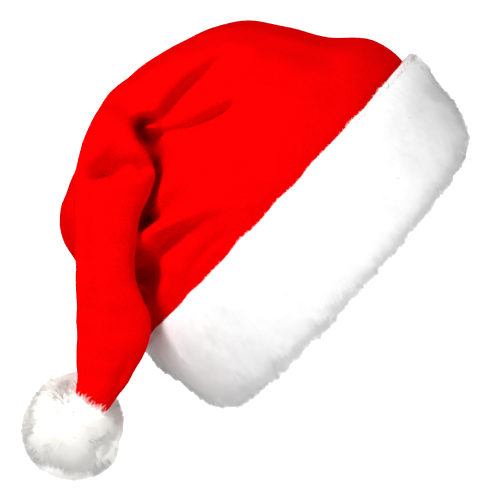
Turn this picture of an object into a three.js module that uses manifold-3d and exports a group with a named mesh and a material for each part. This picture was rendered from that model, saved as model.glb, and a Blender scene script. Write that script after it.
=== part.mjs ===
// A plush winter hat: a soft red bag whose long tail folds over and hangs at one
// side, a white fur cuff turned round its hem, and a fur pompom on the tail's tip.
// Millimetres, +Z up. The origin is the middle of the opening for the head, and the
// hat sits as on a head tipped back, so its own axis leans towards -X.
import * as THREE from 'three';
import Module from 'manifold-3d';

// Driving sizes
const HEAD_LENGTH = 202;    // the opening, forehead to nape
const HEAD_BREADTH = 166;   // the opening, ear to ear
const LEAN = 48.7;          // degrees from upright to the hat's own axis
const CUFF_DEPTH = 60;      // rim to the seam of fur and cloth
const CROWN_RISE = 115;     // seam to the top of the crown
const TAIL_LENGTH = 175;    // the fold at the crown down to the tip
const TAIL_WIDTH = 47;
const WALL = 2;             // the cloth
const FOLD_DEPTH = 10;
const FOLD_WIDTH = 6;
const PILE = 13;            // fur outside the hem
const HEM_PILE = 4;         // fur turned inside, pressed flat
const HEM_DEPTH = 16;
const CUFF_LOCK = 22;
const POMPOM_CORE = 50;     // diameter of the close fur
const POMPOM_LOCK = 12;
const CLEARANCE = 0.3;

// How finely the cloth is stepped, and how square its sections are (2 is an oval)
const ROUND_STEPS = 36;
const TAIL_STEPS = 16;
const ROWS_A_SECTION = 2;
const CROWN_SQUARENESS = 2.1;
const TAIL_SQUARENESS = 2.3;

// How the locks are set: rows down the cuff, how far each stands out, and a lock's
// own narrowing from its root to its tip
const CUFF_LOCKS = 22;
const CUFF_LOCK_ROWS = [
  { height: 0.86, stand: 0.22 },
  { height: 0.56, stand: 0.22 },
  { height: 0.28, stand: 0.16 },
];
const LOCK_RINGS = [
  { reach: 0, spread: 1 },
  { reach: 1, spread: 0.4 },
];
const CUFF_LOCK_ROOT = 0.65;    // share of the pile under a lock
const POMPOM_LOCKS = 32;
const POMPOM_LOCK_ROOT = 0.8;   // share of the core's radius
const POMPOM_STEPS = 8;

// From the tail's tip to the pompom's middle, in radii of its core
const POMPOM_HANG = new THREE.Vector3(-0.58, 0.68, -0.38);

// Sections of the crown, from the rim to the closed top. a is along the opening
// (+1 is half its length, towards the top edge), h is 0 at the seam, -1 at the rim
// and +1 at the crown's top, y is 1 at half the breadth. left and right are the
// section's ends; near and far are how far it stands out towards -Y and +Y.
const CROWN_SECTIONS = [
  { name: 'rim', left: { a: -1.0, h: -0.9 }, right: { a: 1.02, h: -0.95 }, y: 0, near: -1.0, far: 1.0, drop: -0.11 },
  { name: 'band', left: { a: -1.02, h: -0.5 }, right: { a: 1.08, h: -0.5 }, y: 0, near: -1.04, far: 1.04, drop: -0.04 },
  { name: 'seam', left: { a: -1.05, h: 0 }, right: { a: 1.17, h: 0 }, y: 0, near: -1.07, far: 1.07, drop: -0.03 },
  { name: 'swell', left: { a: -1.06, h: 0.2 }, right: { a: 1.15, h: 0.17 }, y: 0, near: -1.08, far: 1.07, drop: -0.02 },
  { name: 'side', left: { a: -1.05, h: 0.37 }, right: { a: 0.99, h: 0.35 }, y: 0, near: -1.04, far: 1.02, drop: 0 },
  { name: 'upper', left: { a: -1.02, h: 0.53 }, right: { a: 0.87, h: 0.55 }, y: 0, near: -0.96, far: 0.94, drop: 0 },
  { name: 'round', left: { a: -0.99, h: 0.64 }, right: { a: 0.75, h: 0.72 }, y: -0.01, near: -0.86, far: 0.83, drop: 0 },
  { name: 'close', left: { a: -0.94, h: 0.73 }, right: { a: 0.57, h: 0.84 }, y: -0.04, near: -0.73, far: 0.72, drop: 0 },
  { name: 'gather', left: { a: -0.87, h: 0.79 }, right: { a: 0.37, h: 0.92 }, y: -0.07, near: -0.61, far: 0.6, drop: 0 },
  { name: 'crest', left: { a: -0.78, h: 0.83 }, right: { a: 0.18, h: 0.97 }, y: -0.1, near: -0.49, far: 0.48, drop: 0 },
  { name: 'edge', left: { a: -0.69, h: 0.86 }, right: { a: 0.0, h: 1.0 }, y: -0.12, near: -0.35, far: 0.35, drop: 0 },
  { name: 'shut', left: { a: -0.58, h: 0.89 }, right: { a: -0.16, h: 1.0 }, y: -0.14, near: -0.2, far: 0.2, drop: 0 },
  { name: 'top', left: { a: -0.46, h: 0.94 }, right: { a: -0.27, h: 0.97 }, y: -0.14, near: -0.07, far: 0.07, drop: 0 },
];

const SEAM_ROW = CROWN_SECTIONS.findIndex((row) => row.name === 'seam');

// Where the tail leaves the crown, in the crown's own shares
const TAIL_ROOT = { a: -0.268, h: 0.987 };

// Sections of the tail, from inside the crown to the tip. x is across in tail
// widths and z down in tail lengths from its root, y in half breadths of the hat,
// front and back are how thick it is in tail widths.
const TAIL_SECTIONS = [
  { name: 'root', left: { x: 0.38, z: 0.13, y: -0.27 }, right: { x: 0.77, z: 0.09, y: -0.31 }, front: 0.21, back: 0.21 },
  { name: 'under', left: { x: 0.17, z: 0.08, y: -0.31 }, right: { x: 0.65, z: 0.04, y: -0.42 }, front: 0.26, back: 0.26 },
  { name: 'curl', left: { x: -0.01, z: 0.01, y: -0.48 }, right: { x: 0.49, z: -0.01, y: -0.59 }, front: 0.3, back: 0.26 },
  { name: 'brow', left: { x: -0.1, z: -0.05, y: -0.61 }, right: { x: 0.46, z: -0.04, y: -0.71 }, front: 0.3, back: 0.23 },
  { name: 'cheek', left: { x: -0.17, z: -0.1, y: -0.7 }, right: { x: 0.53, z: -0.09, y: -0.77 }, front: 0.3, back: 0.21 },
  { name: 'bend', left: { x: -0.22, z: -0.15, y: -0.74 }, right: { x: 0.67, z: -0.14, y: -0.79 }, front: 0.3, back: 0.19 },
  { name: 'knee', left: { x: -0.26, z: -0.21, y: -0.73 }, right: { x: 0.75, z: -0.2, y: -0.78 }, front: 0.3, back: 0.17 },
  { name: 'neck', left: { x: -0.27, z: -0.28, y: -0.75 }, right: { x: 0.7, z: -0.27, y: -0.78 }, front: 0.28, back: 0.17 },
  { name: 'waist', left: { x: -0.27, z: -0.37, y: -0.75 }, right: { x: 0.57, z: -0.35, y: -0.78 }, front: 0.28, back: 0.17 },
  { name: 'slim', left: { x: -0.26, z: -0.46, y: -0.75 }, right: { x: 0.51, z: -0.46, y: -0.77 }, front: 0.26, back: 0.17 },
  { name: 'fall', left: { x: -0.25, z: -0.57, y: -0.75 }, right: { x: 0.52, z: -0.57, y: -0.76 }, front: 0.26, back: 0.17 },
  { name: 'belly', left: { x: -0.24, z: -0.69, y: -0.73 }, right: { x: 0.65, z: -0.68, y: -0.75 }, front: 0.23, back: 0.17 },
  { name: 'wide', left: { x: -0.24, z: -0.79, y: -0.72 }, right: { x: 0.65, z: -0.78, y: -0.73 }, front: 0.21, back: 0.17 },
  { name: 'narrow', left: { x: -0.24, z: -0.89, y: -0.72 }, right: { x: 0.45, z: -0.89, y: -0.72 }, front: 0.19, back: 0.17 },
  { name: 'end', left: { x: -0.23, z: -0.95, y: -0.72 }, right: { x: 0.25, z: -0.96, y: -0.72 }, front: 0.17, back: 0.15 },
  { name: 'tip', left: { x: -0.13, z: -0.98, y: -0.72 }, right: { x: 0.11, z: -0.99, y: -0.72 }, front: 0.09, back: 0.09 },
];

// Folds pressed into the side towards -Y. Each runs from start past middle to end;
// sink and width are shares of FOLD_DEPTH and FOLD_WIDTH, and a ridge sinks less
// than nothing. The crown's points are its own a and h, the tail's are x and z.
const CROWN_FOLDS = [
  { name: 'under the tail', start: [-0.13, 0.81], middle: [-0.26, 0.54], end: [-0.93, 0.19], sink: 1.1, width: 1.5 },
  { name: 'long crease', start: [-0.19, 0.71], middle: [0.02, 0.6], end: [0.3, 0.49], sink: 0.8, width: 0.7 },
  { name: 'upper hollow', start: [-0.13, 0.69], middle: [0.08, 0.69], end: [0.47, 0.67], sink: 0.4, width: 0.9 },
  { name: 'finger', start: [-0.05, 0.69], middle: [0.13, 0.62], end: [0.29, 0.56], sink: -0.3, width: 0.6 },
  { name: 'lower pocket', start: [-0.74, 0.25], middle: [-0.6, 0.25], end: [-0.43, 0.26], sink: 0.7, width: 0.8 },
  { name: 'lower ridge', start: [-0.63, 0.42], middle: [-0.5, 0.34], end: [-0.29, 0.26], sink: -0.45, width: 0.7 },
  { name: 'corner', start: [-0.82, 0.2], middle: [-0.78, 0.26], end: [-0.71, 0.3], sink: 0.9, width: 1.1 },
];
const TAIL_FOLDS = [
  { name: 'dent', start: [-0.04, -0.2], middle: [0.28, -0.17], end: [0.66, -0.17], sink: 0.7, width: 0.9 },
  { name: 'dent top', start: [0.29, -0.09], middle: [0.28, -0.13], end: [0.26, -0.17], sink: 0.3, width: 1.0 },
  { name: 'long valley', start: [-0.01, -0.26], middle: [-0.03, -0.5], end: [0.03, -0.77], sink: 0.26, width: 0.9 },
  { name: 'ledge', start: [-0.03, -0.24], middle: [0.28, -0.23], end: [0.66, -0.22], sink: -0.15, width: 0.6 },
];

const wasm = await Module();
wasm.setup();
const { Manifold, Mesh } = wasm;

// The hat's own directions: across the opening in the side view, up its axis, and
// towards the far side
const lean = THREE.MathUtils.degToRad(LEAN);
const ACROSS = new THREE.Vector3(Math.cos(lean), 0, Math.sin(lean));
const UP = new THREE.Vector3(-Math.sin(lean), 0, Math.cos(lean));
const FAR = new THREE.Vector3(0, 1, 0);

function along(...pairs) {
  const sum = new THREE.Vector3();
  for (const [direction, amount] of pairs) sum.addScaledVector(direction, amount);
  return sum;
}

// A point of the crown from its shares: the cuff's depth counts below the seam and
// the crown's rise above it
function crownPoint(a, h, y) {
  const height = h < 0 ? CUFF_DEPTH * (1 + h) : CUFF_DEPTH + CROWN_RISE * h;
  return along([ACROSS, a * HEAD_LENGTH / 2], [UP, height], [FAR, y * HEAD_BREADTH / 2]);
}

const tailRoot = crownPoint(TAIL_ROOT.a, TAIL_ROOT.h, 0);

function tailPoint(x, z, y) {
  return tailRoot.clone().add(new THREE.Vector3(x * TAIL_WIDTH, y * HEAD_BREADTH / 2, z * TAIL_LENGTH));
}

const crownRows = CROWN_SECTIONS.map((row) => ({
  left: crownPoint(row.left.a, row.left.h, row.y),
  right: crownPoint(row.right.a, row.right.h, row.y),
  near: along([FAR, row.near * HEAD_BREADTH / 2], [UP, row.drop * HEAD_BREADTH / 2]),
  far: along([FAR, row.far * HEAD_BREADTH / 2], [UP, row.drop * HEAD_BREADTH / 2]),
}));

const tailRows = TAIL_SECTIONS.map((row) => ({
  left: tailPoint(row.left.x, row.left.z, row.left.y),
  right: tailPoint(row.right.x, row.right.z, row.right.y),
  near: along([FAR, -row.front * TAIL_WIDTH]),
  far: along([FAR, row.back * TAIL_WIDTH]),
}));

// The row at a place t along a table, on a smooth curve through its rows
function rowAt(rows, t) {
  const i = Math.min(Math.max(Math.floor(t), 0), rows.length - 2);
  const f = t - i;
  const before = rows[Math.max(i - 1, 0)];
  const after = rows[Math.min(i + 2, rows.length - 1)];
  const row = {};
  for (const side of ['left', 'right', 'near', 'far']) {
    const slopeIn = rows[i + 1][side].clone().sub(before[side]).multiplyScalar(0.5);
    const slopeOut = after[side].clone().sub(rows[i][side]).multiplyScalar(0.5);
    row[side] = along(
      [rows[i][side], 2 * f ** 3 - 3 * f ** 2 + 1],
      [slopeIn, f ** 3 - 2 * f ** 2 + f],
      [rows[i + 1][side], 3 * f ** 2 - 2 * f ** 3],
      [slopeOut, f ** 3 - f ** 2],
    );
  }
  return row;
}

// A point round a section: a rounded oval, standing `out` further than the cloth
function around(row, angle, squareness, out = 0) {
  const middle = row.left.clone().add(row.right).multiplyScalar(0.5);
  const half = row.right.clone().sub(middle);
  half.setLength(half.length() + out);
  const side = (Math.sin(angle) > 0 ? row.far : row.near).clone();
  side.setLength(side.length() + out);
  const share = (value) => Math.abs(value) ** (2 / squareness);
  return middle
    .addScaledVector(half, Math.sign(Math.cos(angle)) * share(Math.cos(angle)))
    .addScaledVector(side, share(Math.sin(angle)));
}

// Distance from a point to a bent line in the side view, and how far along it lies
function nearestOnFold(point, [start, middle, end]) {
  const steps = 16;
  let best = { distance: Infinity, share: 0 };
  for (let i = 0; i <= steps; i += 1) {
    const s = i / steps;
    const x = (1 - s) ** 2 * start.x + 2 * s * (1 - s) * middle.x + s * s * end.x;
    const z = (1 - s) ** 2 * start.z + 2 * s * (1 - s) * middle.z + s * s * end.z;
    const distance = Math.hypot(point.x - x, point.z - z);
    if (distance < best.distance) best = { distance, share: s };
  }
  return best;
}

// How far the folds push a point of the near side in, fading at each fold's ends
function foldPush(point, folds, place) {
  let push = 0;
  for (const fold of folds) {
    const line = [fold.start, fold.middle, fold.end].map(([p, q]) => place(p, q, 0));
    const { distance, share } = nearestOnFold(point, line);
    const fade = Math.sin(Math.PI * (0.12 + 0.76 * share)) ** 0.6;
    const reach = fold.width * FOLD_WIDTH;
    push += fold.sink * FOLD_DEPTH * fade * Math.exp(-((distance / reach) ** 2));
  }
  return push;
}

// Rings of points through a table of sections, with the folds pressed in
function clothRings({ rows, steps, squareness, folds, place }) {
  const rings = [];
  const count = (rows.length - 1) * ROWS_A_SECTION;
  for (let i = 0; i <= count; i += 1) {
    const row = rowAt(rows, i / ROWS_A_SECTION);
    const ring = [];
    for (let j = 0; j < steps; j += 1) {
      const angle = j / steps * 2 * Math.PI;
      const point = around(row, angle, squareness);
      const facing = Math.sqrt(Math.max(-Math.sin(angle), 0));
      if (facing > 0) point.y += facing * foldPush(point, folds, place);
      ring.push(point);
    }
    rings.push(ring);
  }
  return rings;
}

// Rings closed into one solid, with a flat fan at each end
function solidFromRings(rings) {
  const steps = rings[0].length;
  const points = rings.flat();
  const triangles = [];
  for (let i = 0; i < rings.length - 1; i += 1) {
    for (let j = 0; j < steps; j += 1) {
      const a = i * steps + j;
      const b = i * steps + (j + 1) % steps;
      triangles.push([a, b, b + steps], [a, b + steps, a + steps]);
    }
  }
  const last = (rings.length - 1) * steps;
  for (const [offset, ring] of [[0, rings[0]], [last, rings[rings.length - 1]]]) {
    const centre = points.length;
    points.push(ring.reduce((sum, p) => sum.add(p), new THREE.Vector3()).multiplyScalar(1 / steps));
    for (let j = 0; j < steps; j += 1) {
      const a = offset + j;
      const b = offset + (j + 1) % steps;
      triangles.push(offset === 0 ? [b, a, centre] : [a, b, centre]);
    }
  }
  return solid(points, triangles);
}

function solid(points, triangles) {
  const vertProperties = new Float32Array(points.flatMap((p) => [p.x, p.y, p.z]));
  const triVerts = new Uint32Array(triangles.flat());
  const shape = new Manifold(new Mesh({ numProp: 3, vertProperties, triVerts }));
  return shape.volume() > 0 ? shape : solid(points, triangles.map(([a, b, c]) => [a, c, b]));
}

// The same rings moved along their outward normals, inwards where `out` is negative
function offsetRings(rings, out) {
  const steps = rings[0].length;
  return rings.map((ring, i) => ring.map((point, j) => {
    const up = rings[Math.min(i + 1, rings.length - 1)][j].clone().sub(rings[Math.max(i - 1, 0)][j]);
    const side = ring[(j + 1) % steps].clone().sub(ring[(j - 1 + steps) % steps]);
    const normal = side.cross(up).normalize();
    return point.clone().addScaledVector(normal, out);
  }));
}

// The crown: an outer bag less an inner one, each a dome with the tail joined on.
// The inner bag runs out past the rim, and stops short of the closed ends.
const domeRings = clothRings({
  rows: crownRows, steps: ROUND_STEPS, squareness: CROWN_SQUARENESS, folds: CROWN_FOLDS, place: crownPoint,
});
const tailRings = clothRings({
  rows: tailRows, steps: TAIL_STEPS, squareness: TAIL_SQUARENESS, folds: TAIL_FOLDS, place: tailPoint,
}).map((ring) => ring.reverse());

function crown() {
  const insideDome = offsetRings(domeRings, -WALL).slice(0, -1);
  insideDome.unshift(insideDome[0].map((point) => point.clone().addScaledVector(UP, -4 * WALL)));
  const insideTail = offsetRings(tailRings, -WALL).slice(0, -3);
  const outside = solidFromRings(domeRings).add(solidFromRings(tailRings));
  return outside.subtract(solidFromRings(insideDome)).subtract(solidFromRings(insideTail));
}

// A lock of fur: a flat four-sided spike that bends over as it grows
function lock({ base, grow, bend, side, length, width, flatness }) {
  const flat = grow.clone().cross(side).normalize();
  const rings = LOCK_RINGS.map(({ reach, spread }) => {
    const centre = base.clone().addScaledVector(grow, length * reach).addScaledVector(bend, length * reach ** 2);
    return [[1, 0], [0, flatness], [-1, 0], [0, -flatness]].map(([s, f]) => centre.clone()
      .addScaledVector(side, s * spread * width / 2)
      .addScaledVector(flat, f * spread * width / 2));
  });
  return solidFromRings(rings);
}

// A point of the cuff: height counts up from the rim in cuff depths, out is the
// distance from the cloth's outer face
function cuffPoint(height, out, angle) {
  const row = rowAt(crownRows, Math.max(height, 0) * SEAM_ROW);
  return around(row, angle, CROWN_SQUARENESS, out).addScaledVector(UP, Math.min(height, 0) * CUFF_DEPTH);
}

// The cuff's backing: fur outside the cloth, round the rim and up inside it
function cuffBacking() {
  const under = -CLEARANCE / CUFF_DEPTH;
  const hem = HEM_DEPTH / CUFF_DEPTH;
  const inside = -WALL - 2 * CLEARANCE;
  const section = [
    [0.5, CLEARANCE], [0.75, CLEARANCE], [1, CLEARANCE],
    [1.01, 0.4 * PILE], [0.92, 0.75 * PILE], [0.72, 0.95 * PILE], [0.45, PILE], [0.2, 0.95 * PILE],
    [0.02, 0.75 * PILE], [-0.07, 0.35 * PILE], [-0.1, 0],
    [-0.07, inside - HEM_PILE], [hem / 2, inside - HEM_PILE], [hem, inside - HEM_PILE / 2],
    [hem, inside], [0.5 * hem, inside], [under, inside], [under, CLEARANCE], [0.25, CLEARANCE],
  ];
  const points = [];
  const triangles = [];
  const count = section.length;
  for (let j = 0; j < ROUND_STEPS; j += 1) {
    const angle = j / ROUND_STEPS * 2 * Math.PI;
    for (const [height, out] of section) points.push(cuffPoint(height, out, angle));
    for (let i = 0; i < count; i += 1) {
      const a = j * count + i;
      const b = j * count + (i + 1) % count;
      const next = ((j + 1) % ROUND_STEPS - j) * count;
      triangles.push([a, b, b + next], [a, b + next, a + next]);
    }
  }
  return solid(points, triangles);
}

// Rows of locks on the cuff, each row set half a lock round from the last, lying
// down towards the rim and standing out more the lower they are
function cuff() {
  const parts = [cuffBacking()];
  CUFF_LOCK_ROWS.forEach(({ height, stand }, rowIndex) => {
    for (let k = 0; k < CUFF_LOCKS; k += 1) {
      const angle = (k + 0.5 * (rowIndex % 2) + 0.2 * Math.sin(5 * k)) / CUFF_LOCKS * 2 * Math.PI;
      const lift = height + 0.03 * Math.sin(3 * k + rowIndex);
      const base = cuffPoint(lift, CUFF_LOCK_ROOT * PILE, angle);
      const out = cuffPoint(lift, PILE, angle).sub(base).normalize();
      const down = cuffPoint(lift - CUFF_LOCK / CUFF_DEPTH, CUFF_LOCK_ROOT * PILE, angle).sub(base).normalize();
      const side = out.clone().cross(down).normalize();
      const grow = along([out, stand], [down, 1], [side, 0.3 * Math.sin(7 * k + rowIndex)]).normalize();
      parts.push(lock({
        base, grow, bend: out.clone().multiplyScalar(-0.04), side, flatness: 0.4,
        length: CUFF_LOCK * (1 + 0.1 * Math.sin(11 * k)), width: 1.35 * CUFF_LOCK,
      }));
    }
  });
  return Manifold.union(parts);
}

// The pompom hangs from the tip, a little behind it, as a ball of close fur with
// locks all over, and is hollowed where the tip sits in it
function pompom() {
  const radius = POMPOM_CORE / 2;
  const centre = tailPoint(0, -1, TAIL_SECTIONS.at(-1).left.y).addScaledVector(POMPOM_HANG, radius);
  const rings = [];
  for (let i = 0; i <= POMPOM_STEPS; i += 1) {
    const polar = (i + 0.5) / (POMPOM_STEPS + 1) * Math.PI;
    rings.push(Array.from({ length: POMPOM_STEPS + 3 }, (_, j) => {
      const angle = j / (POMPOM_STEPS + 3) * 2 * Math.PI;
      return new THREE.Vector3().setFromSphericalCoords(radius, polar, angle).add(centre);
    }));
  }
  const parts = [solidFromRings(rings)];
  const goldenAngle = Math.PI * (3 - Math.sqrt(5));
  for (let k = 0; k < POMPOM_LOCKS; k += 1) {
    const polar = Math.acos(1 - 2 * (k + 0.5) / POMPOM_LOCKS);
    const grow = new THREE.Vector3().setFromSphericalCoords(1, polar, k * goldenAngle);
    const side = grow.clone().cross(new THREE.Vector3(0, 0, 1)).normalize();
    parts.push(lock({
      base: centre.clone().addScaledVector(grow, POMPOM_LOCK_ROOT * radius), grow,
      bend: new THREE.Vector3(0.2 * Math.sin(3 * k), 0.2 * Math.cos(5 * k), -0.15), side,
      length: POMPOM_LOCK * (0.95 + 0.08 * Math.sin(7 * k)), width: 1.8 * POMPOM_LOCK, flatness: 0.8,
    }));
  }
  const seat = solidFromRings(offsetRings(tailRings, CLEARANCE).slice(-4 * ROWS_A_SECTION));
  return Manifold.union(parts).subtract(seat);
}

function mesh(name, shape, { color, roughness }) {
  const { vertProperties, triVerts } = shape.getMesh();
  const geometry = new THREE.BufferGeometry();
  geometry.setAttribute('position', new THREE.BufferAttribute(new Float32Array(vertProperties), 3));
  geometry.setIndex(new THREE.BufferAttribute(new Uint32Array(triVerts), 1));
  geometry.computeVertexNormals();
  const result = new THREE.Mesh(geometry, new THREE.MeshStandardMaterial({ color, roughness, metalness: 0 }));
  result.name = name;
  return result;
}

const RED_PLUSH = { color: 0xd60a10, roughness: 0.85 };
const WHITE_FUR = { color: 0xf1f0ec, roughness: 1 };

const hat = new THREE.Group();
hat.add(mesh('crown', crown(), RED_PLUSH));
hat.add(mesh('cuff', cuff(), WHITE_FUR));
hat.add(mesh('pompom', pompom(), WHITE_FUR));

export default hat;
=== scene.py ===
import bmesh
import bpy
import numpy as np
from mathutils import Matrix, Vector


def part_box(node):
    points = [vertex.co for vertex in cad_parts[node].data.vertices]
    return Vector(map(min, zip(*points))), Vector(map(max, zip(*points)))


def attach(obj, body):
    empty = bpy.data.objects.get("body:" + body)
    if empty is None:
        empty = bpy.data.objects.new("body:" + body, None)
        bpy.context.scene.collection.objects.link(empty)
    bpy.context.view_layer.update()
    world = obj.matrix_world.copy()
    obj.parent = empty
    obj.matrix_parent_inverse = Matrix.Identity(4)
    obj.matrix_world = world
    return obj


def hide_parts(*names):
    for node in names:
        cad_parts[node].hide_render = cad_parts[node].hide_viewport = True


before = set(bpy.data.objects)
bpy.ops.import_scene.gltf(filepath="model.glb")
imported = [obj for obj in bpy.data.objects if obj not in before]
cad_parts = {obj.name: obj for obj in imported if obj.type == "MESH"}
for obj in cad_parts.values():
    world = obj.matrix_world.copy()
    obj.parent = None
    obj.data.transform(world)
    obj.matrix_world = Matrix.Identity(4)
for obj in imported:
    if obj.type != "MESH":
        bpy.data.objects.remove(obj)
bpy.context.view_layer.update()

# The crown is a soft bag of short-piled red plush, sewn to a point. Its long tail
# folds over forwards and hangs at one side, which pulls the cloth into creases that
# run back from the fold. It has no lining, so the wall is one cloth thick.
MM = 0.001
HEAD_LENGTH = 202 * MM      # the opening, forehead to nape
HEAD_BREADTH = 166 * MM     # the opening, ear to ear
LEAN = np.radians(48.7)     # from upright to the hat's own axis
CUFF_DEPTH = 60 * MM        # rim to the seam of fur and cloth
CROWN_RISE = 115 * MM       # seam to the top of the crown
TAIL_LENGTH = 175 * MM
TAIL_WIDTH = 47 * MM
CLOTH = 2 * MM              # backing and pile together
FOLD_DEPTH = 10 * MM        # how far in a fold of sink 1 goes
FOLD_WIDTH = 6 * MM         # how wide a bank of 1 is
CROWN_SQUARENESS = 2.1      # of the sections: 2 is an ellipse, more is squarer
TAIL_SQUARENESS = 2.8

ACROSS = np.array([np.cos(LEAN), 0, np.sin(LEAN)])      # along the opening's length
UP = np.array([-np.sin(LEAN), 0, np.cos(LEAN)])         # from the opening to the top
FAR = np.array([0.0, 1.0, 0.0])                         # away from the side that the tail hangs at

# Sections from the rim to the closed top. a is along the opening (+1 is half its
# length), h is 0 at the seam, -1 at the rim and +1 at the top, y is 1 at half the
# breadth; near and far are how far a section stands out to each side.
CROWN_SECTIONS = [
    dict(name="rim", left=(-1.0, -0.9), right=(1.02, -0.95), y=0, near=-1.0, far=1.0, drop=-0.11),
    dict(name="band", left=(-1.02, -0.5), right=(1.08, -0.5), y=0, near=-1.04, far=1.04, drop=-0.04),
    dict(name="seam", left=(-1.055, 0.03), right=(1.17, -0.05), y=0, near=-1.07, far=1.07, drop=-0.03),
    dict(name="swell", left=(-1.06, 0.2), right=(1.15, 0.17), y=0, near=-1.08, far=1.07, drop=-0.02),
    dict(name="side", left=(-1.05, 0.37), right=(0.99, 0.35), y=0, near=-1.04, far=1.02, drop=0),
    dict(name="upper", left=(-1.02, 0.53), right=(0.87, 0.55), y=0, near=-0.96, far=0.94, drop=0),
    dict(name="round", left=(-0.99, 0.64), right=(0.75, 0.72), y=-0.01, near=-0.86, far=0.83, drop=0),
    dict(name="close", left=(-0.94, 0.73), right=(0.57, 0.84), y=-0.04, near=-0.73, far=0.72, drop=0),
    dict(name="gather", left=(-0.87, 0.79), right=(0.37, 0.92), y=-0.07, near=-0.61, far=0.6, drop=0),
    dict(name="crest", left=(-0.78, 0.83), right=(0.18, 0.97), y=-0.1, near=-0.49, far=0.48, drop=0),
    dict(name="edge", left=(-0.69, 0.86), right=(0.0, 1.0), y=-0.12, near=-0.35, far=0.35, drop=0),
    dict(name="shut", left=(-0.58, 0.89), right=(-0.16, 1.0), y=-0.14, near=-0.2, far=0.2, drop=0),
    dict(name="top", left=(-0.46, 0.94), right=(-0.27, 0.97), y=-0.14, near=-0.07, far=0.07, drop=0),
]
TAIL_ROOT = (-0.268, 0.987)

# Sections of the tail from inside the crown to its tip: x is across in tail widths
# and z down in tail lengths from its root, y in half breadths of the hat.
TAIL_SECTIONS = [
    dict(name="root", left=(0.38, 0.13, -0.27), right=(0.77, 0.09, -0.31), front=0.21, back=0.21),
    dict(name="under", left=(0.17, 0.08, -0.31), right=(0.65, 0.04, -0.42), front=0.26, back=0.26),
    dict(name="curl", left=(-0.01, 0.01, -0.48), right=(0.49, -0.01, -0.59), front=0.3, back=0.26),
    dict(name="brow", left=(-0.1, -0.05, -0.61), right=(0.46, -0.04, -0.71), front=0.3, back=0.23),
    dict(name="cheek", left=(-0.17, -0.1, -0.7), right=(0.53, -0.09, -0.77), front=0.3, back=0.21),
    dict(name="bend", left=(-0.22, -0.15, -0.74), right=(0.67, -0.14, -0.79), front=0.3, back=0.19),
    dict(name="knee", left=(-0.26, -0.21, -0.73), right=(0.75, -0.2, -0.78), front=0.3, back=0.17),
    dict(name="neck", left=(-0.27, -0.28, -0.75), right=(0.7, -0.27, -0.78), front=0.28, back=0.17),
    dict(name="waist", left=(-0.27, -0.37, -0.75), right=(0.57, -0.35, -0.78), front=0.28, back=0.17),
    dict(name="slim", left=(-0.26, -0.46, -0.75), right=(0.51, -0.46, -0.77), front=0.26, back=0.17),
    dict(name="fall", left=(-0.25, -0.57, -0.75), right=(0.52, -0.57, -0.76), front=0.26, back=0.17),
    dict(name="belly", left=(-0.24, -0.69, -0.73), right=(0.69, -0.68, -0.75), front=0.23, back=0.17),
    dict(name="wide", left=(-0.24, -0.79, -0.72), right=(0.67, -0.78, -0.73), front=0.21, back=0.17),
    dict(name="narrow", left=(-0.24, -0.89, -0.72), right=(0.45, -0.89, -0.72), front=0.19, back=0.17),
    dict(name="end", left=(-0.23, -0.955, -0.72), right=(0.25, -0.97, -0.72), front=0.17, back=0.15),
    dict(name="tip", left=(-0.04, -0.995, -0.72), right=(0.12, -1.01, -0.72), front=0.1, back=0.09),
]

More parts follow.
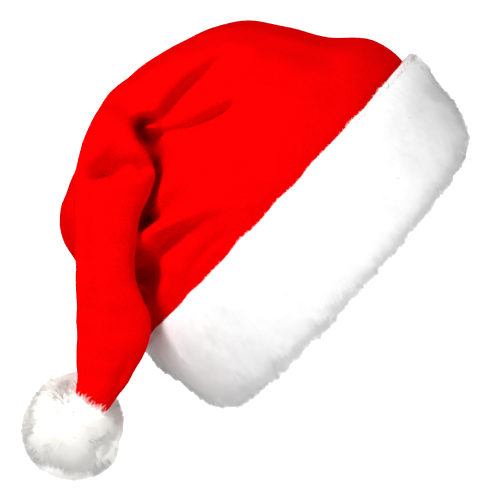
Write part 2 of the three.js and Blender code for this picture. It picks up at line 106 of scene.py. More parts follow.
# Folds pressed into the near side, each a bent line in the side view. sink is in
# FOLD_DEPTH and widths in FOLD_WIDTH; above and below are its two banks, so a crease
# can be steep on one side, and edge is 1 where it is sharp at the bottom. A ridge
# sinks less than nothing.
CROWN_FOLDS = [
    dict(name="behind the tail", line=[(-0.46, 0.78), (-0.72, 0.46), (-1.05, 0.16)],
         sink=1.4, above=2.4, below=2.8),
    dict(name="hook", line=[(-0.09, 0.75), (-0.17, 0.83), (-0.19, 0.7)],
         sink=3.2, above=0.5, below=0.5),
    dict(name="top pocket", line=[(-0.17, 0.69), (-0.19, 0.62), (-0.28, 0.55)],
         sink=3.0, above=1.1, below=1.5, edge=2),
    dict(name="pinch", line=[(-0.24, 0.59), (-0.28, 0.53), (-0.34, 0.51)],
         sink=1.8, above=0.35, below=0.9),
    dict(name="first pocket", line=[(-0.28, 0.55), (-0.43, 0.49), (-0.47, 0.46)],
         sink=2.2, above=0.5, below=1.3),
    dict(name="pocket floor", line=[(-0.62, 0.43), (-0.54, 0.41), (-0.47, 0.38)],
         sink=3.4, above=1.9, below=0.25, edge=1.3),
    dict(name="second pocket", line=[(-0.74, 0.29), (-0.76, 0.23), (-0.85, 0.21)],
         sink=4.2, above=1.25, below=1.9, edge=3),
    dict(name="tail gap", line=[(-0.87, 0.19), (-0.92, 0.1), (-1.02, 0.02)],
         sink=1.2, above=0.9, below=1.6),
    dict(name="long crease", line=[(-0.15, 0.69), (0.05, 0.54), (0.28, 0.48)],
         sink=1.9, above=0.5, below=0.5, edge=1),
    dict(name="upper hollow", line=[(-0.11, 0.69), (0.16, 0.74), (0.47, 0.67)],
         sink=1.9, above=1.0, below=1.7),
    dict(name="finger", line=[(-0.03, 0.69), (0.1, 0.63), (0.31, 0.53)],
         sink=-0.3, above=0.7, below=0.6),
    dict(name="lip", line=[(-0.11, 0.75), (-0.11, 0.7), (-0.15, 0.68)],
         sink=-0.3, above=0.4, below=0.4),
    dict(name="lower ridge", line=[(-0.62, 0.38), (-0.55, 0.35), (-0.26, 0.23)],
         sink=-0.4, above=0.6, below=0.9),
    dict(name="lower crease", line=[(-0.45, 0.24), (-0.58, 0.28), (-0.7, 0.25)],
         sink=1.6, above=1.1, below=0.5, edge=1),
    dict(name="seam pucker", line=[(-0.6, 0.08), (-0.47, 0.11), (-0.33, 0.07)],
         sink=0.16, above=0.5, below=0.4),
    dict(name="soft dip", line=[(0.15, 0.37), (0.28, 0.31), (0.44, 0.26)],
         sink=0.14, above=0.9, below=0.7),
    dict(name="soft dip low", line=[(-0.19, 0.38), (-0.04, 0.27), (0.13, 0.16)],
         sink=0.14, above=1.0, below=0.8),
    dict(name="shoulder", line=[(0.91, 0.38), (0.86, 0.26), (0.78, 0.14)],
         sink=0.25, above=1.4, below=1.4),
]
TAIL_FOLDS = [
    dict(name="dent base", line=[(-0.01, -0.23), (0.3, -0.19), (0.77, -0.2)],
         sink=2.0, above=1.9, below=0.3, edge=1),
    dict(name="dent slope", line=[(0.33, -0.08), (0.1, -0.17), (0.03, -0.22)],
         sink=0.3, above=1.6, below=0.6),
    dict(name="ledge", line=[(0.03, -0.25), (0.3, -0.22), (0.74, -0.22)],
         sink=-0.2, above=0.3, below=0.9),
    dict(name="long valley", line=[(-0.01, -0.26), (-0.05, -0.46), (0.08, -0.67)],
         sink=0.3, above=0.9, below=0.9),
    dict(name="low dent", line=[(0.42, -0.84), (0.32, -0.91), (0.22, -0.96)],
         sink=0.3, above=0.8, below=0.7),
]


def unit(vectors):
    """Each vector divided by its own length."""
    return vectors / np.maximum(np.linalg.norm(vectors, axis=-1, keepdims=True), 1e-12)


def crown_place(a, h, y=0.0):
    """A point of the crown: a halves of the opening across, and h of the rise up from the seam or, where h is
    less than nothing, of the cuff's depth down from it."""
    height = CUFF_DEPTH + h * (CUFF_DEPTH if h < 0 else CROWN_RISE)
    return a * HEAD_LENGTH / 2 * ACROSS + height * UP + y * HEAD_BREADTH / 2 * FAR


tail_root = crown_place(*TAIL_ROOT)


def tail_place(x, z, y=0.0):
    """A point of the tail: x tail widths across and z tail lengths up from its root."""
    return tail_root + np.array([x * TAIL_WIDTH, y * HEAD_BREADTH / 2, z * TAIL_LENGTH])


def crown_rows():
    """The crown's table as rows of left end, right end, near bulge and far bulge."""
    half = HEAD_BREADTH / 2
    return np.array([[
        crown_place(*row["left"], row["y"]), crown_place(*row["right"], row["y"]),
        row["near"] * half * FAR + row["drop"] * half * UP,
        row["far"] * half * FAR + row["drop"] * half * UP,
    ] for row in CROWN_SECTIONS])


def tail_rows():
    """The tail's table as rows of left end, right end, near bulge and far bulge."""
    return np.array([[
        tail_place(*row["left"]), tail_place(*row["right"]),
        -row["front"] * TAIL_WIDTH * FAR, row["back"] * TAIL_WIDTH * FAR,
    ] for row in TAIL_SECTIONS])


def cubic(f, before, first, second, after):
    """Points at shares f from first to second, on the cubic that has the slope of the chord round each."""
    return ((2 * f**3 - 3 * f**2 + 1) * first + (f**3 - 2 * f**2 + f) * (second - before) / 2
            + (3 * f**2 - 2 * f**3) * second + (f**3 - f**2) * (after - first) / 2)


def row_at(rows, t):
    """Rows at places t along a table, on a cubic curve through every row."""
    i = np.clip(np.floor(t).astype(int), 0, len(rows) - 2)
    f = (t - i)[:, None, None]
    return cubic(f, rows[np.maximum(i - 1, 0)], rows[i], rows[i + 1], rows[np.minimum(i + 2, len(rows) - 1)])


def around(row, angle, squareness, out=0.0):
    """Points round sections: middle + half length |cos|^(2/s) + bulge |sin|^(2/s), both longer by out."""
    left, right, near, far = (row[..., k, :] for k in range(4))
    middle, half = (left + right) / 2, (right - left) / 2
    side = np.where(np.sin(angle)[..., None] > 0, far, near)
    out = np.asarray(out)[..., None]
    half = half + unit(half) * out
    side = side + unit(side) * out
    power = 2 / squareness
    c = (np.sign(np.cos(angle)) * np.abs(np.cos(angle))**power)[..., None]
    s = (np.abs(np.sin(angle))**power)[..., None]
    return middle + c * half + s * side


FOLD_STOPS = 33             # places tried along a fold's line for the nearest
FOLD_EDGE = 1.6             # of a fold whose row gives none


def fold_push(points, folds, place):
    """How far folds push points in: sink times exp(-(distance / bank)^edge), faded at each fold's ends.
    The distance is to a bent line in the side view, and its sign says which bank a point lies on."""
    x, z = points[..., 0], points[..., 2]
    push = np.zeros(x.shape)
    for fold in folds:
        start, middle, end = (place(p, q)[[0, 2]] for p, q in fold["line"])
        nearest = np.full(x.shape, np.inf)
        share = np.zeros(x.shape)
        side = np.zeros(x.shape)
        for s in np.linspace(0, 1, FOLD_STOPS):
            on = (1 - s)**2 * start + 2 * s * (1 - s) * middle + s * s * end
            way = 2 * (1 - s) * (middle - start) + 2 * s * (end - middle)
            distance = np.hypot(x - on[0], z - on[1])
            closer = distance < nearest
            nearest[closer], share[closer] = distance[closer], s
            side[closer] = (way[0] * (z - on[1]) - way[1] * (x - on[0]))[closer]
        turn = (side / (np.abs(side) + 1e-12) * np.minimum(nearest / FOLD_WIDTH * 4, 1) + 1) / 2
        bank = (fold["below"] + (fold["above"] - fold["below"]) * turn) * FOLD_WIDTH
        fade = np.sin(np.pi * (0.12 + 0.76 * share))**0.6
        push += fold["sink"] * FOLD_DEPTH * fade * np.exp(-(nearest / bank)**fold.get("edge", FOLD_EDGE))
    return push


def bag(rows, rows_count, steps, squareness, folds, place):
    """A grid of points: sections down the table, each stepped round, and the near side pushed in by folds."""
    row = row_at(rows, np.linspace(0, len(rows) - 1, rows_count))[:, None]
    angle = np.broadcast_to(np.linspace(0, 2 * np.pi, steps, endpoint=False), (rows_count, steps))
    points = around(row, angle, squareness)
    facing = np.sqrt(np.maximum(-np.sin(angle), 0))
    points[..., 1] += facing * fold_push(points, folds, place)
    return points


def closed_shell(grid):
    """Vertices and faces of a grid of rings, with a fan of triangles to a middle point at each end."""
    count, steps = grid.shape[:2]
    corner = np.arange(count * steps).reshape(count, steps)
    beside = np.roll(corner, -1, axis=1)
    walls = np.stack([corner[:-1], beside[:-1], beside[1:], corner[1:]], axis=-1).reshape(-1, 4)
    ends = np.array([grid[0].mean(axis=0), grid[-1].mean(axis=0)])
    first = np.stack([beside[0], corner[0], np.full(steps, count * steps)], axis=-1)
    last = np.stack([corner[-1], beside[-1], np.full(steps, count * steps + 1)], axis=-1)
    return np.concatenate([grid.reshape(-1, 3), ends]), [*walls.tolist(), *first.tolist(), *last.tolist()]


def new_piece(name, vertices, faces):
    """An object at the origin that holds these vertices and faces, shaded smooth."""
    mesh = bpy.data.meshes.new(name)
    mesh.from_pydata(np.asarray(vertices).tolist(), [], faces)
    mesh.polygons.foreach_set("use_smooth", np.full(len(mesh.polygons), True))
    mesh.update()
    piece = bpy.data.objects.new(name, mesh)
    bpy.context.scene.collection.objects.link(piece)
    return piece


def settled(piece, kind, **settings):
    """Adds a modifier with these settings and applies it to the piece's mesh."""
    modifier = piece.modifiers.new(kind.title(), kind)
    for key, value in settings.items():
        setattr(modifier, key, value)
    shaped = bpy.data.meshes.new_from_object(piece.evaluated_get(bpy.context.evaluated_depsgraph_get()))
    piece.modifiers.clear()
    piece.data = shaped


def vertices_of(mesh):
    """A mesh's vertices as an array of rows x, y, z."""
    flat = np.empty(3 * len(mesh.vertices))
    mesh.vertices.foreach_get("co", flat)
    return flat.reshape(-1, 3)


def put_vertices(mesh, points):
    """Moves a mesh's vertices to these points."""
    mesh.vertices.foreach_set("co", np.ascontiguousarray(points, dtype=np.float32).ravel())
    mesh.update()


def relaxed(mesh, rounds, strength):
    """Moves each vertex towards the mean of its neighbours, by its own strength, this many times."""
    points = vertices_of(mesh)
    edges = np.empty(2 * len(mesh.edges), dtype=np.int32)
    mesh.edges.foreach_get("vertices", edges)
    ends = np.concatenate([edges.reshape(-1, 2), edges.reshape(-1, 2)[:, ::-1]])
    links = np.bincount(ends[:, 0], minlength=len(points))[:, None]
    strength = np.broadcast_to(strength, len(points))[:, None]
    for _ in range(rounds):
        mean = np.stack([
            np.bincount(ends[:, 0], weights=points[ends[:, 1], k], minlength=len(points)) for k in range(3)
        ], axis=-1) / links
        points = points + strength * (mean - points)
    put_vertices(mesh, points)


def ripple(points, length, seed, waves=12):
    """Smooth noise about 0: the sum of sine waves of about this length in seeded directions."""
    draw = np.random.default_rng(seed)
    ways = unit(draw.normal(size=(waves, 3))) * 2 * np.pi / length * draw.uniform(0.7, 1.4, (waves, 1))
    return np.sin(points @ ways.T + draw.uniform(0, 2 * np.pi, waves)).sum(axis=-1) / np.sqrt(waves)


def ripple_vectors(points, length, seed):
    """Three ripples as the parts of a vector."""
    return np.stack([ripple(points, length, seed + k) for k in range(3)], axis=-1)


CROWN_GRID = 240, 300       # rows and steps round
TAIL_GRID = 220, 150
CLOTH_GRAIN = 1.1 * MM      # size of the faces that the crown is remade with
KEPT_FACES = 0.31           # share of those faces left once the folds are in
TRIM = 7 * MM               # height above the rim where the cloth's raw edge lies in the cuff

dome_grid = bag(crown_rows(), *CROWN_GRID, CROWN_SQUARENESS, CROWN_FOLDS, crown_place)
tail_grid = bag(tail_rows(), *TAIL_GRID, TAIL_SQUARENESS, TAIL_FOLDS, tail_place)
shells = [closed_shell(dome_grid), closed_shell(tail_grid)]
crown = new_piece(
    "crown_cloth",
    np.concatenate([shells[0][0], shells[1][0]]),
    shells[0][1] + [[k + len(shells[0][0]) for k in face] for face in shells[1][1]],
)
settled(crown, "REMESH", mode="VOXEL", voxel_size=CLOTH_GRAIN, use_smooth_shade=True)
relaxed(crown.data, 2, 0.5)

# The cloth over the fold runs on smoothly from the crown into the tail, so the join
# is eased there, on the near side, and left crisp at the hook of the tail's free edge.
EASE_BREADTH = 0.5 * TAIL_WIDTH
EASE_HEIGHT = 0.13 * TAIL_LENGTH
EASE_ROUNDS = 60
HOOK_RADIUS = 0.26 * TAIL_WIDTH
points = vertices_of(crown.data)
ease_middle = tail_place(0.12, 0)
ease = np.exp(-(((points[:, 0] - ease_middle[0]) / EASE_BREADTH)**2
                + ((points[:, 2] - ease_middle[2]) / EASE_HEIGHT)**2))
ease *= points[:, 1] < 0
hook = tail_place(0.62, -0.06)
ease *= 1 - np.exp(-((points[:, 0] - hook[0])**2 + (points[:, 2] - hook[2])**2) / HOOK_RADIUS**2)
relaxed(crown.data, EASE_ROUNDS, 0.6 * np.clip(1.4 * ease - 0.2, 0, 1))

# Small wrinkles, longer across the hat than up it, run all over the cloth.
WRINKLE_LENGTH = 15 * MM
WRINKLE_DEPTH = 0.32 * MM
WRINKLE_STRETCH = [0.35, 0.6, 1.0]
points = vertices_of(crown.data)
flat = np.empty(points.size)
crown.data.vertex_normals.foreach_get("vector", flat)
wrinkle = ripple(points * WRINKLE_STRETCH, WRINKLE_LENGTH, 5)
put_vertices(crown.data, points + WRINKLE_DEPTH * wrinkle[:, None] * flat.reshape(-1, 3))

# The bag is closed at the rim while it is remade, and is cut open here at its raw edge.
shaping = bmesh.new()
shaping.from_mesh(crown.data)
bmesh.ops.bisect_plane(
    shaping, geom=shaping.verts[:] + shaping.edges[:] + shaping.faces[:],
    plane_co=TRIM * UP, plane_no=UP, clear_inner=True,
)
shaping.to_mesh(crown.data)
shaping.free()
settled(crown, "DECIMATE", ratio=KEPT_FACES)
settled(crown, "SOLIDIFY", thickness=CLOTH, offset=-1)
crown.data.polygons.foreach_set("use_smooth", np.full(len(crown.data.polygons), True))


class Value:
    """A shader socket in an expression: each sum or product of it adds its own Math node."""

    def __init__(self, finish, socket):
        self.finish, self.socket = finish, socket

    def maths(self, operation, *values):
        return self.finish.add("ShaderNodeMath", dict(operation=operation), dict(enumerate(values)))

    def __add__(self, other):
        return self.maths("ADD", self, other)

    def __mul__(self, other):
        return self.maths("MULTIPLY", self, other)

    __radd__ = __add__
    __rmul__ = __mul__


class Finish:
    """A material with one shader: lay sets the shader's sockets, and add makes any other node, from its
    type, its settings and its sockets' values or links."""

    def __init__(self, name, **constants):
        self.material = bpy.data.materials.new(name)
        self.material.use_nodes = True
        self.tree = self.material.node_tree
        self.shader = self.tree.nodes["Principled BSDF"]
        self.lay(**constants)
        self.place = self.add("ShaderNodeTexCoord", output="Object")

    def feed(self, socket, value):
        if isinstance(value, Value):
            self.tree.links.new(value.socket, socket)
        else:
            socket.default_value = value

    def add(self, kind, settings=None, sockets=None, output=0):
        node = self.tree.nodes.new(kind)
        for key, value in (settings or {}).items():
            setattr(node, key, value)
        for key, value in (sockets or {}).items():
            self.feed(node.inputs[key], value)
        return Value(self, node.outputs[output])

    def lay(self, **sockets):
        for key, value in sockets.items():
            self.feed(self.shader.inputs[key.replace("_", " ")], value)

    def noise(self, scale, detail):
        """Smooth noise over the piece's own coordinates, with about scale lumps to a metre."""
        return self.add("ShaderNodeTexNoise", None, dict(Vector=self.place, Scale=scale, Detail=detail))

    def blend(self, share, first, second):
        """Two colours mixed by a share: 0 is the first and 1 the second. Sockets 6 and 7 hold colours."""
        return self.add("ShaderNodeMix", dict(data_type="RGBA"), {0: share, 6: first, 7: second}, output=2)


def cloth_finish():
    """Red plush: a deep red mixed from brushed patches and the nap's grain, which also stands in relief, with
    a soft red sheen at grazing angles."""
    finish = Finish("red_plush", Roughness=0.9, Sheen_Weight=0.35, Sheen_Roughness=0.4,
                    Sheen_Tint=(1.0, 0.001, 0.001, 1), Specular_IOR_Level=0)
    brushed = finish.noise(70.0, 3.0)
    nap = finish.noise(900.0, 2.0)
    share = 0.55 * brushed + 0.45 * nap
    finish.lay(Base_Color=finish.blend(share, (0.66, 0.0003, 0.0005, 1), (0.88, 0.0004, 0.0008, 1)))
    height = nap + 0.6 * finish.noise(350.0, 3.0)
    finish.lay(Normal=finish.add("ShaderNodeBump", None, dict(
        Strength=0.35, Distance=0.6 * MM, Height=height)))
    return finish.material


crown.data.materials.clear()
crown.data.materials.append(cloth_finish())
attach(crown, "root")
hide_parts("crown")

# The cuff is a deep band of white fur on a knitted backing, turned round the hem and
# sewn at the seam. The pile lies down towards the rim: short and close at the seam,
# longer and in soft clumps lower down. Inside the rim it is pressed flat.
PILE = 13 * MM              # how far the fur stands out from the cloth
SEAM_ROW = [row["name"] for row in CROWN_SECTIONS].index("seam")

# The backing's section, from the seam out over the fur's bed, round the rim and up
# inside it: height in cuff depths from the rim, out in piles from the cloth.
CUFF_SECTION = np.array([
    [0.25, 0.03], [0.6, 0.03], [0.98, 0.03], [0.985, 0.25], [0.94, 0.55], [0.75, 0.76], [0.45, 0.82],
    [0.2, 0.76], [0.04, 0.58], [-0.045, 0.2], [-0.055, -0.12], [-0.02, -0.38], [0.12, -0.46],
    [0.26, -0.34], [0.26, -0.22], [0.12, -0.2], [-0.005, -0.2], [-0.005, 0.03],
])


def closed_curve(corners, count):
    """Points evenly down a closed cubic curve through these corners."""
    t = np.linspace(0, len(corners), count, endpoint=False)
    i = np.floor(t).astype(int)
    f = (t - i)[:, None]
    return cubic(f, *(corners[(i + k) % len(corners)] for k in (-1, 0, 1, 2)))


def cuff_place(height, out, angle):
    """Points of the cuff: the crown's own section at a height in cuff depths above the rim, longer by out all
    round. Below the rim the rim's section is carried straight down."""
    row = row_at(crown_rows(), np.maximum(height, 0).ravel() * SEAM_ROW)
    row = row.reshape(*np.shape(height), 4, 3)
    return around(row, angle, CROWN_SQUARENESS, out) + (np.minimum(height, 0) * CUFF_DEPTH)[..., None] * UP


def ring_mesh(grid):
    """Vertices and faces of a grid that closes on itself both ways."""
    count, steps = grid.shape[:2]
    corner = np.arange(count * steps).reshape(count, steps)
    beside = np.roll(corner, -1, axis=1)
    faces = np.stack([corner, beside, np.roll(beside, -1, axis=0), np.roll(corner, -1, axis=0)], axis=-1)
    return grid.reshape(-1, 3), faces.reshape(-1, 4)


def normals_of(points, faces):
    """Vertex normals: the sum of the faces' cross products at each vertex, made one long."""
    across = np.cross(points[faces[:, 2]] - points[faces[:, 0]], points[faces[:, -1]] - points[faces[:, 1]])
    total = np.stack([
        np.bincount(faces.ravel(), weights=np.repeat(across[:, k], faces.shape[1]), minlength=len(points))
        for k in range(3)
    ], axis=-1)
    return unit(total)


def sown(points, faces, density, count, seed, *fields):
    """Places of hairs, and fields there: four-sided faces drawn by area times density, a point in each."""
    draw = np.random.default_rng(seed)
    a, b, c, d = (points[faces[:, k]] for k in range(4))
    area = np.linalg.norm(np.cross(c - a, d - b), axis=-1) / 2
    chance = np.cumsum(area * density[faces].mean(axis=1))
    chosen = np.minimum(np.searchsorted(chance, draw.uniform(0, chance[-1], count)), len(faces) - 1)
    u, v = draw.random((2, count, 1))

    def inside(field):
        a, b, c, d = (field[faces[chosen, k]] for k in range(4))
        return (1 - u) * (1 - v) * a + u * (1 - v) * b + u * v * c + (1 - u) * v * d

    return [inside(field) for field in (points, *fields)]


def fur(name, roots, normals, lie, length, width, seed, stand=0.2, clump=0.3, clump_size=7 * MM):
    """A joined mesh of hairs, each a ribbon of three triangles that leaves its root between the normal
    and the lie of the pile and bends over towards the lie. Ripples turn neighbours the same way, so that
    the pile falls in clumps. Each vertex holds how far it is to the tip, and its hair's own tone."""
    draw = np.random.default_rng(seed)
    count = len(roots)
    swirl = ripple_vectors(roots, clump_size, seed) * clump
    swirl += ripple_vectors(roots, 3 * clump_size, seed + 9) * clump
    swirl += 0.16 * draw.normal(size=(count, 3))
    length = (length * draw.uniform(0.75, 1.15, count))[:, None]
    stand = np.broadcast_to(stand, count)[:, None]
    first = unit(stand * normals + (1 - stand) * lie + 0.6 * swirl)
    first += np.maximum(0.08 - (first * normals).sum(axis=-1, keepdims=True), 0) * normals
    second = unit(first + 0.75 * lie + 0.5 * swirl)
    second += np.maximum(-0.02 - (second * normals).sum(axis=-1, keepdims=True), 0) * normals
    middle = roots + 0.5 * length * first
    tip = middle + 0.5 * length * second
    side = unit(np.cross(first, normals) + 0.2 * draw.normal(size=(count, 3))) * width / 2
    side *= np.sign((np.cross(side, first) * normals).sum(axis=-1, keepdims=True))
    vertices = np.stack([roots - side, roots + side, middle + 0.8 * side, middle - 0.8 * side, tip], axis=1)
    base = 5 * np.arange(count)[:, None]
    triangles = np.stack([base + [0, 1, 2], base + [0, 2, 3], base + [3, 2, 4]], axis=1).reshape(-1, 3)

    mesh = bpy.data.meshes.new(name)
    mesh.vertices.add(5 * count)
    mesh.loops.add(triangles.size)
    mesh.polygons.add(len(triangles))
    mesh.vertices.foreach_set("co", vertices.astype(np.float32).ravel())
    mesh.loops.foreach_set("vertex_index", triangles.astype(np.int32).ravel())
    mesh.polygons.foreach_set("loop_start", np.arange(0, triangles.size, 3, dtype=np.int32))
    mesh.update(calc_edges=True)
    mesh.polygons.foreach_set("use_smooth", np.ones(len(triangles), dtype=bool))
    # reach lets the finish paint shade towards each hair's root.
    reach = mesh.attributes.new("reach", "FLOAT", "POINT")
    reach.data.foreach_set("value", np.tile([0, 0, 0.5, 0.5, 1], count).astype(np.float32))
    tone = mesh.attributes.new("tone", "FLOAT", "POINT")
    tone.data.foreach_set("value", np.repeat(draw.random(count), 5).astype(np.float32))
    facing = unit(normals + 0.12 * swirl)
    mesh.normals_split_custom_set_from_vertices(np.repeat(facing, 5, axis=0).astype(np.float32))
    piece = bpy.data.objects.new(name, mesh)
    # Real fur lets light through and scatters it. Ribbons would shade one another to grey, so the bed below
    # is lit and shaded, and the hairs take the same light; the shade between hairs is painted into their
    # colour towards the root instead.
    piece.visible_shadow = piece.visible_diffuse = False
    bpy.context.scene.collection.objects.link(piece)
    return piece


def fur_finish(name, root, tip, shade):
    """White fur: each hair runs from the root's colour, greyer as painted shade between the hairs, to the
    tip's, and turns towards the shade colour by a share of its own and one that is common to a patch a few
    centimetres across."""
    finish = Finish(name, Roughness=0.85, Specular_IOR_Level=0.1, Sheen_Weight=0.5, Sheen_Roughness=0.5)
    reach = finish.add("ShaderNodeAttribute", dict(attribute_name="reach"), output="Fac")
    tone = finish.add("ShaderNodeAttribute", dict(attribute_name="tone"), output="Fac")
    patch = finish.noise(22.0, 2.0)
    # Painted shade: each hair darkens from its tip to its root, in place of the shadow that the hairs would
    # cast between one another.
    hair = finish.blend(reach, root, tip)
    finish.lay(Base_Color=finish.blend(0.35 * tone + 0.35 * patch, hair, shade))
    return finish.material


CUFF_ROUND = 380            # steps round the bed
CUFF_SECTION_STEPS = 80
CUFF_QUARTERS = 4           # pieces that the outer fur is sown in
CUFF_HAIRS = 42000          # in each of them
HEM_HAIRS = 12000           # inside the rim
HEM_HAIR_LENGTH = 5 * MM
HAIR = 0.36 * MM            # width of a ribbon, which stands for several hairs
BED_LUMP = 0.5 * MM         # unevenness of the bed
BED_LUMP_LENGTH = 26 * MM

section = closed_curve(CUFF_SECTION, CUFF_SECTION_STEPS)
angle = np.linspace(0, 2 * np.pi, CUFF_ROUND, endpoint=False)
height, turn = np.broadcast_arrays(section[:, 0, None], angle)
out = np.broadcast_to(section[:, 1, None] * PILE, height.shape)
bed_points, bed_faces = ring_mesh(cuff_place(height, out, turn))
bed_normals = normals_of(bed_points, bed_faces)
if ((bed_points - bed_points.mean(axis=0)) * bed_normals).sum() < 0:
    bed_faces = bed_faces[:, ::-1]
    bed_normals = -bed_normals
bed_points = bed_points + bed_normals * (BED_LUMP * ripple(bed_points, BED_LUMP_LENGTH, 3))[:, None]
cuff = new_piece("cuff_bed", bed_points, bed_faces.tolist())
# The first colour, at the hairs' roots, is darker than the tip's as painted shade between the hairs.
cuff_white = fur_finish(
    "white_fur", (0.86, 0.855, 0.85, 1), (0.97, 0.97, 0.97, 1), (0.88, 0.88, 0.885, 1))
cuff.data.materials.append(cuff_white)

share_out = out.ravel() / PILE
share_up = height.ravel()
outside = (share_out > 0.12) & (share_up < 0.978)
round_rim = (share_up < 0.05) & (share_out > -0.3)
density = np.where(outside, 1.0, 0.0) + np.where(round_rim, 0.7, 0.0)
quarter = np.floor(turn.ravel() / (2 * np.pi) * CUFF_QUARTERS).astype(int)

# The pile lies down the cuff and a little with gravity, and turns up where it rolls
# over at the seam. It is 6.5 mm long, 2.7 mm at the seam and 8.7 mm at the rim.
fur_pieces = []
for k in range(CUFF_QUARTERS):
    roots, facing, rise = sown(
        bed_points, bed_faces, density * (quarter == k), CUFF_HAIRS, 20 + k, bed_normals, share_up[:, None])
    facing, rise = unit(facing), rise[:, 0]
    over = np.clip((rise - 0.92) / 0.05, 0, 1)[:, None]
    down = (1.7 * over - 1) * UP - 0.25 * (1 - over) * np.array([0, 0, 1.0])
    lie = unit(down - (facing * down).sum(axis=-1, keepdims=True) * facing + 0.1 * facing)
    near_seam = np.clip((rise - 0.8) / 0.2, 0, 1)
    low = np.clip(1 - rise / 0.5, 0, 1)
    long = (6.5 - 3.8 * near_seam + 2.2 * low) * MM
    stand = 0.16 + 0.14 * low
    fur_pieces.append(fur(f"cuff_fur_{k + 1}", roots, facing, lie, long, HAIR, 40 + k, stand=stand))

# Inside the rim the pile is pressed up along the cloth.
hem_density = np.where((share_out < -0.25) & (share_up < 0.3), 1.0, 0.0)
roots, facing = sown(bed_points, bed_faces, hem_density, HEM_HAIRS, 31, bed_normals)
facing = unit(facing)
lie = unit(UP - (facing @ UP)[:, None] * facing + 0.05 * facing)
fur_pieces.append(fur("cuff_fur_inside", roots, facing, lie, HEM_HAIR_LENGTH, HAIR, 51))
for piece in fur_pieces:
    piece.data.materials.append(cuff_white)
for piece in [cuff, *fur_pieces]:
    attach(piece, "root")
    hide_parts("cuff")

# The pompom is a dense ball of slightly creamy fur, tied and sewn to the tail's tip a
# little behind it, so that its hairs part round the cloth's end and fray over it.
POMPOM_HAIRS = 40000
CORE_GRID = 60, 96          # rings and steps round
CORE_SHARE = 0.87           # of the ball's radius, the rest being hair
POLE_GAP = 0.02             # angle from a pole to its first ring
FRAY_TUFTS = 130
FRAY_LENGTH = 8 * MM
# Lumps and notches of the ball, each round one direction from its middle: rise is in
# radii, and width is how far the lump spreads, as 1 less the cosine of the angle.
POMPOM_LUMPS = [
    dict(name="notch", way=(-0.28, -0.3, -0.95), rise=-0.09, width=0.05),
    dict(name="foot", way=(0.22, -0.2, -0.97), rise=0.06, width=0.12),
    dict(name="side notch", way=(0.93, -0.2, 0.22), rise=-0.07, width=0.04),
    dict(name="crest", way=(-0.2, -0.2, 0.95), rise=0.04, width=0.06),
]
ball_low, ball_high = (np.array(corner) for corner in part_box("pompom"))
ball_middle = (ball_low + ball_high) / 2
ball_radius = (ball_high - ball_low).min() / 2

polar = np.linspace(POLE_GAP, np.pi - POLE_GAP, CORE_GRID[0])[:, None]
turn = np.linspace(0, 2 * np.pi, CORE_GRID[1], endpoint=False)
ways = np.stack([
    np.sin(polar) * np.cos(turn), np.sin(polar) * np.sin(turn), np.cos(polar) * np.ones_like(turn),
], axis=-1)
lumps = 1 + 0.025 * ripple(ways, 1.3, 7)
for lump in POMPOM_LUMPS:
    lumps += lump["rise"] * np.exp(-((1 - ways @ unit(np.array(lump["way"]))) / lump["width"]))
core_points, core_faces = closed_shell(ball_middle + CORE_SHARE * ball_radius * lumps[..., None] * ways)
core = new_piece("pompom_core", core_points, core_faces)
# The first colour, at the hairs' roots, is darker than the tip's as painted shade between the hairs.
pompom_white = fur_finish(
    "pompom_fur", (0.87, 0.86, 0.83, 1), (0.97, 0.965, 0.945, 1), (0.88, 0.855, 0.79, 1))
core.data.materials.append(pompom_white)
core.visible_shadow = False     # dense fur glows from within rather than shading itself
quads = np.array([face for face in core_faces if len(face) == 4])
core_normals = unit(core_points - ball_middle)
roots, facing = sown(core_points, quads, np.ones(len(core_points)), POMPOM_HAIRS, 61, core_normals)
facing = unit(facing)
lie = unit(0.5 * facing + 0.6 * ripple_vectors(facing, 0.9, 77) + 0.3 * np.array([0, 0, -1.0]))
pompom = fur("pompom_fur", roots, facing, lie, 0.17 * ball_radius, HAIR, 71, stand=0.5, clump=0.22)
pompom.data.materials.append(pompom_white)

# Where the cloth's tip lies on the ball, tufts of the fur stand up over its cut end.
fray = np.random.default_rng(81)
along, below = fray.random((2, FRAY_TUFTS, 1))
roots = (1 - along) * tail_place(-0.29, -0.975, -0.83) + along * tail_place(0.07, -1.03, -0.83)
roots = roots + below * np.array([-0.5, 1.0, -1.2]) * MM + 0.9 * MM * fray.normal(size=roots.shape)
facing = np.broadcast_to(-FAR, roots.shape)
lie = unit(np.array([0.4, -0.12, 0.9]) + 0.25 * fray.normal(size=roots.shape))
tufts = fur("pompom_fray", roots, facing, lie, FRAY_LENGTH, HAIR, 83, stand=0.1, clump_size=3 * MM)
tufts.data.materials.append(pompom_white)
for piece in (core, pompom, tufts):
    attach(piece, "root")
    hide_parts("pompom")

# The studio is a pale paper floor well below the hat, which hangs as a head would hold
# it, and curves up into a backdrop far behind. The main light is high at the left, with
# a low fill at each side and two lamps on the backdrop. The camera looks along +Y.
PHOTO_WIDTH = 300 * MM      # what the picture's width spans at the hat
VIEW_MIDDLE = np.array([-57, -10, 13.2]) * MM       # what the camera and the lamps face
CAMERA_AWAY = 3.0           # in metres, as the studio's other lengths are
SENSOR = 36.0               # in millimetres, as the lens is

camera_data = bpy.data.cameras.new("camera")
camera_data.sensor_width = SENSOR
camera_data.lens = SENSOR * CAMERA_AWAY / PHOTO_WIDTH
camera = bpy.data.objects.new("camera", camera_data)
camera.location = VIEW_MIDDLE - CAMERA_AWAY * FAR
camera.rotation_euler = (np.pi / 2, 0, 0)
bpy.context.scene.collection.objects.link(camera)
bpy.context.scene.camera = camera

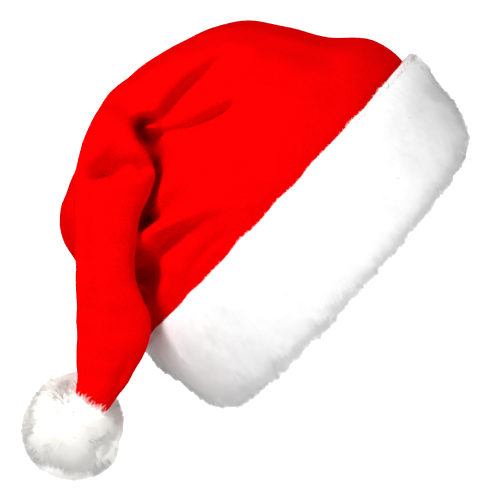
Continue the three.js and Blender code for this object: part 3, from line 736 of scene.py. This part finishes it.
FLOOR = -0.5                # height of the paper on the ground
BACKDROP = 5.6              # how far behind the hat it stands upright
BACKDROP_TOP = 4.0
BEND = 1.0                  # radius of the curve between
HALF_WIDTH = 5.0
sweep = np.linspace(0, np.pi / 2, 24)
profile = np.concatenate([
    [[-HALF_WIDTH, FLOOR]],
    np.stack([BACKDROP - BEND + BEND * np.sin(sweep), FLOOR + BEND - BEND * np.cos(sweep)], axis=-1),
    [[BACKDROP, BACKDROP_TOP]],
])
wide = np.array([-HALF_WIDTH, HALF_WIDTH])
stage_grid = np.stack([
    np.broadcast_to(wide[:, None], (2, len(profile))),
    np.broadcast_to(profile[:, 0], (2, len(profile))),
    np.broadcast_to(profile[:, 1], (2, len(profile))),
], axis=-1).reshape(-1, 3)
steps = len(profile)
floor_faces = [[k + steps, k + 1 + steps, k + 1, k] for k in range(steps - 1)]
floor = new_piece("studio_floor", stage_grid, floor_faces)
paper = Finish("studio_paper", Roughness=0.9, Base_Color=(0.6, 0.6, 0.6, 1), Specular_IOR_Level=0.1)
floor.data.materials.append(paper.material)

LAMPS = [
    dict(name="key", spot=(-1.4, -1.8, 1.7), aim=VIEW_MIDDLE, size=0.8, watts=78.0),
    dict(name="right fill", spot=(1.7, -0.9, -0.1), aim=VIEW_MIDDLE, size=1.0, watts=16.0),
    dict(name="left fill", spot=(-1.2, -1.8, -0.2), aim=VIEW_MIDDLE, size=1.0, watts=12.0),
    dict(name="backdrop left", spot=(-0.9, 4.8, 0.4), aim=(0, BACKDROP, 0), size=0.6, watts=28.0),
    dict(name="backdrop right", spot=(0.9, 4.8, 0.4), aim=(0, BACKDROP, 0), size=0.6, watts=28.0),
]
for lamp_row in LAMPS:
    lamp_data = bpy.data.lights.new(lamp_row["name"], "AREA")
    lamp_data.size, lamp_data.energy = lamp_row["size"], lamp_row["watts"]
    lamp = bpy.data.objects.new(lamp_row["name"], lamp_data)
    lamp.location = lamp_row["spot"]
    way = Vector(lamp_row["aim"]) - Vector(lamp_row["spot"])
    lamp.rotation_euler = way.to_track_quat("-Z", "Y").to_euler()
    bpy.context.scene.collection.objects.link(lamp)

world = bpy.data.worlds.new("studio")
world.use_nodes = True
background = world.node_tree.nodes["Background"]
background.inputs["Color"].default_value = (1, 1, 1, 1)
background.inputs["Strength"].default_value = 0.12
bpy.context.scene.world = world
bpy.context.scene.view_settings.view_transform = "Standard"
